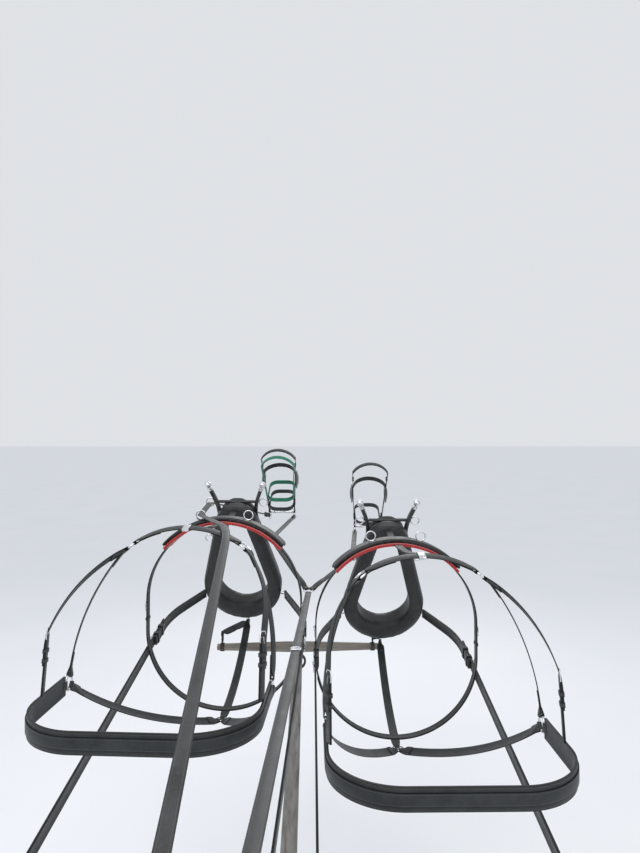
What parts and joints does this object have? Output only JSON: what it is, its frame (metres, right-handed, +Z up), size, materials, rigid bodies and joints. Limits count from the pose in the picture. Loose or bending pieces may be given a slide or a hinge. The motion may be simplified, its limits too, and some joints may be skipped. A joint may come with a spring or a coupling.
{
  "type": "pair horse draft harness with sleigh pole",
  "caption": "Draft gear of a horse-drawn sleigh: pole, evener, singletrees and neck yoke with a double harness as worn, collars, breeching, traces, bridles and driving lines.",
  "frame": {"origin": "centre of the cross bore through the pole's heel, where the draw bolt joins it to the sleigh", "axes": "+Y forward along the pole, +X to the off (right-hand) side along the bore, +Z up"},
  "size_m": [1.6529, 3.7537, 1.5888],
  "materials": {
    "strap": "black harness strap with a soft sheen, finely stitched edges",
    "collar_leather": "black padded leather",
    "blinder_leather": "black patent leather",
    "line_leather": "flat black driving line, worn grey",
    "hame_black": "black enamelled steel",
    "chrome": "polished",
    "red_felt": "thick wool felt with pinked edges",
    "green_webbing": "woven nylon",
    "weathered_wood": "bare, weathered grey",
    "painted_wood": "bare, weathered grey",
    "black_iron": "dull black forged iron with rust at the edges",
    "chain_steel": "plain steel chain, dulled"
  },
  "bodies": {
    "draft_gear": {"near_collar": "collar_leather", "near_hames": "hame_black", "near_hame_straps": "strap", "near_back_pad": "strap", "near_pad_felt": "red_felt", "near_belly_band": "strap", "near_back_strap": "strap", "near_hip_strap": "strap", "near_hip_drops": "strap", "near_breeching": "strap", "near_side_straps": "strap", "near_bridle": "strap", "near_blinders": "blinder_leather", "near_hame_tugs": "strap", "off_collar": "collar_leather", "off_hames": "hame_black", "off_hame_straps": "strap", "off_back_pad": "strap", "off_pad_felt": "red_felt", "off_belly_band": "strap", "off_back_strap": "strap", "off_hip_strap": "strap", "off_hip_drops": "strap", "off_breeching": "strap", "off_side_straps": "strap", "off_bridle": "strap", "off_blinders": "blinder_leather", "off_hame_tugs": "strap", "near_halter": "green_webbing", "hame_balls": "chrome", "hame_rings": "chrome", "strap_rings": "chrome", "pad_terrets": "chrome", "strap_buckles": "chrome", "bits": "chrome", "breast_straps": "strap", "neck_yoke": "weathered_wood", "yoke_irons": "black_iron", "pole": "weathered_wood", "pole_irons": "black_iron", "evener": "weathered_wood", "evener_irons": "black_iron", "evener_saddle": "black_iron", "near_line": "line_leather", "off_line": "line_leather", "cross_checks": "line_leather"},
    "near_left_trace": {"near_left_trace": "strap", "near_left_heel_chain": "chain_steel"},
    "near_right_trace": {"near_right_trace": "strap", "near_right_heel_chain": "chain_steel"},
    "near_singletree": {"near_singletree": "painted_wood", "near_singletree_irons": "black_iron"},
    "off_left_trace": {"off_left_trace": "strap", "off_left_heel_chain": "chain_steel"},
    "off_right_trace": {"off_right_trace": "strap", "off_right_heel_chain": "chain_steel"},
    "off_singletree": {"off_singletree": "painted_wood", "off_singletree_irons": "black_iron"}
  },
  "joints": [
    {"name": "near_singletree_swing", "type": "hinge", "parent": "draft_gear", "child": "near_singletree", "pos_m": [-0.45, 0.43, 0.1704], "axis": [0, 0, 1], "range_deg": [-6, 6]},
    {"name": "near_left_trace_draw", "type": "slide", "parent": "draft_gear", "child": "near_left_trace", "axis": [0.0646, 0.9722, 0.2252], "range_m": [-0.0385, 0.0385]},
    {"name": "near_right_trace_draw", "type": "slide", "parent": "draft_gear", "child": "near_right_trace", "axis": [0.0646, 0.9722, 0.2252], "range_m": [-0.0385, 0.0385]},
    {"name": "off_singletree_swing", "type": "hinge", "parent": "draft_gear", "child": "off_singletree", "pos_m": [0.45, 0.43, 0.1704], "axis": [0, 0, 1], "range_deg": [-6, 6]},
    {"name": "off_left_trace_draw", "type": "slide", "parent": "draft_gear", "child": "off_left_trace", "axis": [0, 0.9787, 0.2051], "range_m": [-0.0385, 0.0385]},
    {"name": "off_right_trace_draw", "type": "slide", "parent": "draft_gear", "child": "off_right_trace", "axis": [0, 0.9787, 0.2051], "range_m": [-0.0385, 0.0385]}
  ],
  "couplings": [
    {"joint": "near_left_trace_draw", "follows": "near_singletree_swing", "m_per_rad": -0.36436},
    {"joint": "near_right_trace_draw", "follows": "near_singletree_swing", "m_per_rad": 0.36436},
    {"joint": "off_left_trace_draw", "follows": "off_singletree_swing", "m_per_rad": -0.36271},
    {"joint": "off_right_trace_draw", "follows": "off_singletree_swing", "m_per_rad": 0.36271}
  ]
}
